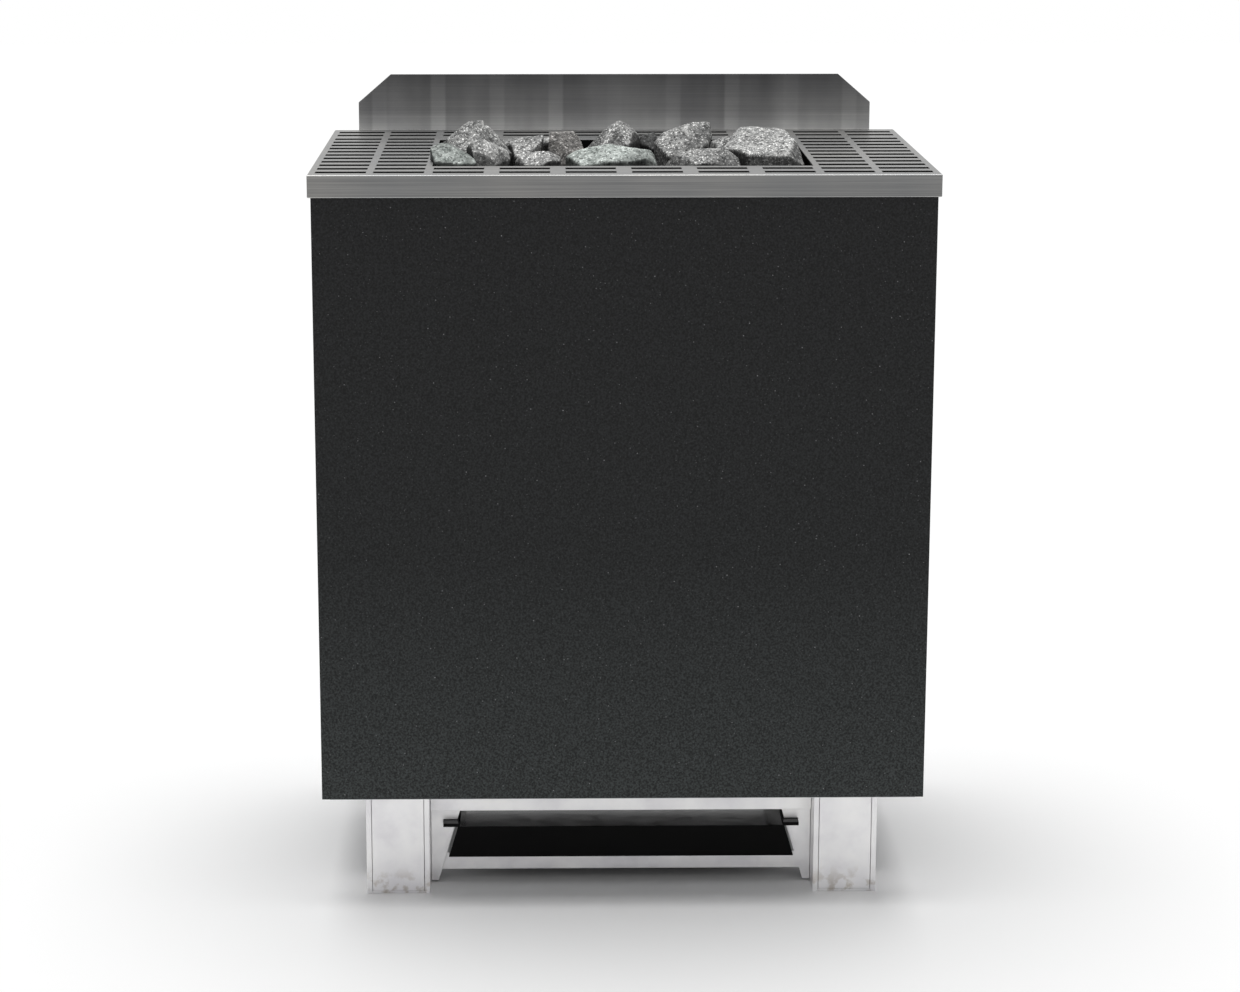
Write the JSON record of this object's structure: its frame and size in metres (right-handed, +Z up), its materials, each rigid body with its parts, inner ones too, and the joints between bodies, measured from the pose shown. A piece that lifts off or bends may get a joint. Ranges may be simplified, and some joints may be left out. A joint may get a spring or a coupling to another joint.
{
  "type": "sauna heater",
  "caption": "Floor-standing electric sauna heater: painted casing on sheet-metal feet, slotted stainless rim round an open bed of stones, rear reflector plate and a sliding drip tray.",
  "frame": {"origin": "on the floor under the middle of the heater's bounding box", "axes": "+Z up, +X to the right seen from the front, the front faces -Y"},
  "size_m": [0.5, 0.3566, 0.6605],
  "materials": {
    "anthracite_paint": "satin anthracite stove paint with fine metallic specks",
    "brushed_stainless": "brushed, grain along the long side",
    "plain_stainless": "turned",
    "galvanised_steel": "bright galvanised, slightly mottled",
    "aluminised_sheet": "dull aluminised",
    "heat_tinted_steel": "dark, heat tinted",
    "element_sheath": "oxidised",
    "terminal_ceramic": "unglazed",
    "dark_polyamide": "moulded",
    "black_enamel": "glossy black enamel",
    "grey_stone": "broken grey stone with white flecks",
    "green_stone": "broken grey-green stone",
    "brown_stone": "broken grey-brown stone",
    "dark_stone": "broken dark stone"
  },
  "bodies": {
    "heater": {"front_panel": "anthracite_paint", "side_panel_left": "anthracite_paint", "side_panel_right": "anthracite_paint", "rear_panel": "galvanised_steel", "top_rim": "brushed_stainless", "reflector": "brushed_stainless", "reflector_spacer_left": "plain_stainless", "reflector_spacer_right": "plain_stainless", "reflector_screw_left": "plain_stainless", "reflector_screw_right": "plain_stainless", "inner_wall_front": "aluminised_sheet", "inner_wall_rear": "aluminised_sheet", "inner_wall_left": "aluminised_sheet", "inner_wall_right": "aluminised_sheet", "stone_basket": "heat_tinted_steel", "basket_rail_front": "heat_tinted_steel", "basket_rail_rear": "heat_tinted_steel", "heating_element_front": "element_sheath", "heating_element_middle": "element_sheath", "heating_element_rear": "element_sheath", "terminal_housing": "galvanised_steel", "terminal_block": "terminal_ceramic", "terminal_cover": "galvanised_steel", "cable_gland": "dark_polyamide", "gland_nut": "dark_polyamide", "base_plate": "galvanised_steel", "base_rail_front": "galvanised_steel", "base_rail_rear": "galvanised_steel", "foot_front_left": "galvanised_steel", "foot_front_right": "galvanised_steel", "foot_rear_left": "galvanised_steel", "foot_rear_right": "galvanised_steel", "foot_plate_front_left": "galvanised_steel", "foot_plate_front_right": "galvanised_steel", "foot_plate_rear_left": "galvanised_steel", "foot_plate_rear_right": "galvanised_steel", "tray_bracket_front_left": "galvanised_steel", "tray_bracket_front_right": "galvanised_steel", "tray_bracket_rear_left": "galvanised_steel", "tray_bracket_rear_right": "galvanised_steel", "tray_bar_front": "galvanised_steel", "tray_bar_rear": "galvanised_steel", "stone_bed": "dark_stone", "stone_01": "green_stone", "stone_02": "grey_stone", "stone_03": "grey_stone", "stone_04": "green_stone", "stone_05": "grey_stone", "stone_06": "grey_stone", "stone_07": "grey_stone", "stone_08": "dark_stone", "stone_09": "brown_stone", "stone_10": "dark_stone", "stone_11": "grey_stone", "stone_12": "dark_stone", "stone_13": "grey_stone", "stone_14": "grey_stone", "stone_15": "dark_stone", "stone_16": "grey_stone"},
    "tray": {"drip_tray": "black_enamel"}
  },
  "joints": [
    {"name": "tray_slide", "type": "slide", "parent": "heater", "child": "tray", "axis": [0, -1, 0], "range_m": [0, 0.2]}
  ]
}
